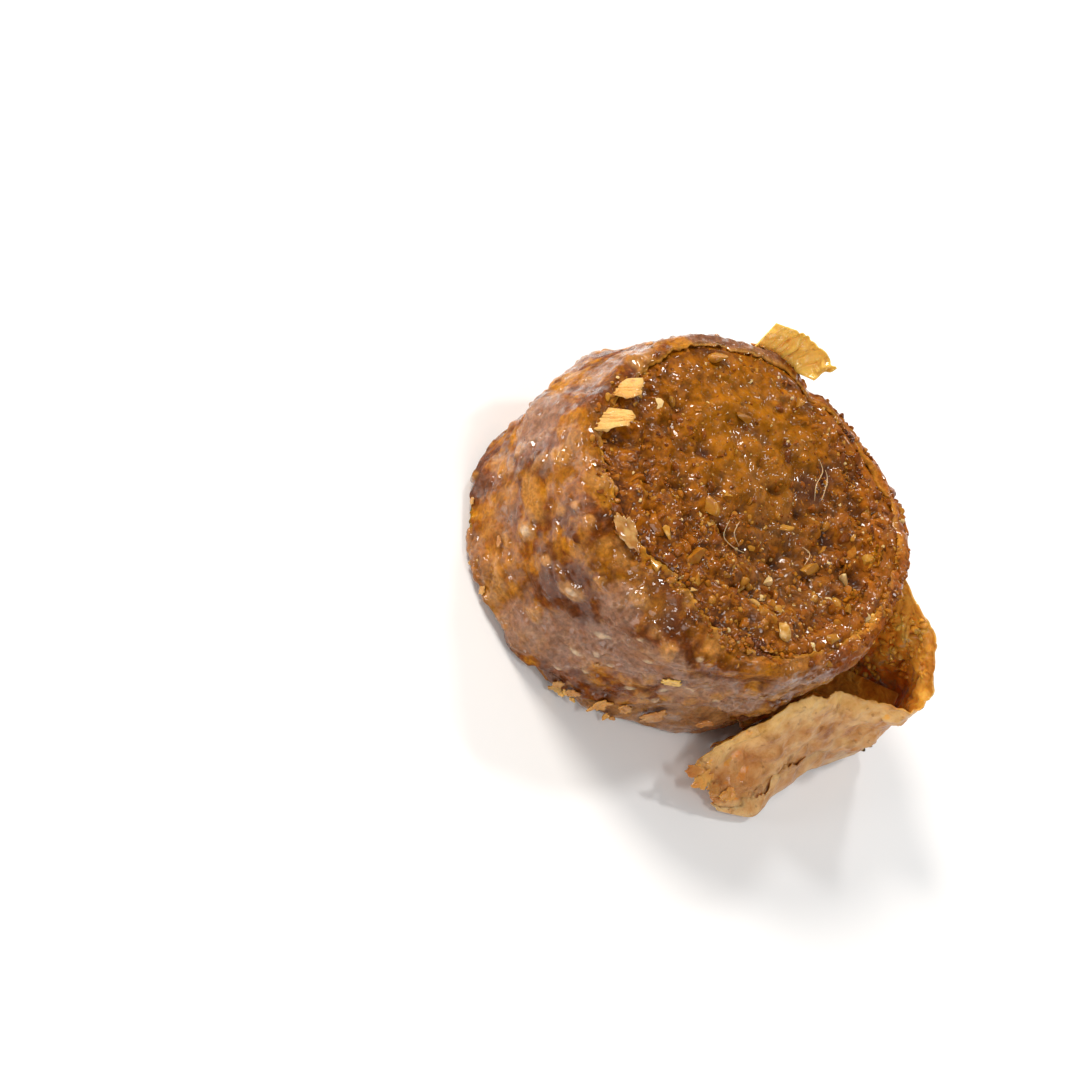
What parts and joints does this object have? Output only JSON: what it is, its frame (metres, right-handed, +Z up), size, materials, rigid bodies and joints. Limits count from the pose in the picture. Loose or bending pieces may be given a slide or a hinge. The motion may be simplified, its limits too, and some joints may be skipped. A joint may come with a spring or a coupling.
{
  "type": "baklava piece",
  "caption": "Slice of rolled baklava standing on its cut face: chopped nut filling inside a syrupy filo wrap whose loose end has come away at the side.",
  "frame": {"origin": "middle of the lower cut face, on the axis of the roll", "axes": "+Z up along the axis of the roll, towards the upper cut face; +X towards the loose end of the outer sheet; the picture looks along +Y and down"},
  "size_m": [0.0407, 0.0333, 0.0193],
  "materials": {
    "nut_filling": "food: chopped nuts and filo layers soaked in syrup, moist and sparkling",
    "phyllo_wrap": "food: thin amber filo sheet under glossy syrup, paler and drier at its loose end"
  },
  "bodies": {
    "root": {"nut_filling": "nut_filling", "phyllo_wrap": "phyllo_wrap"}
  },
  "joints": []
}
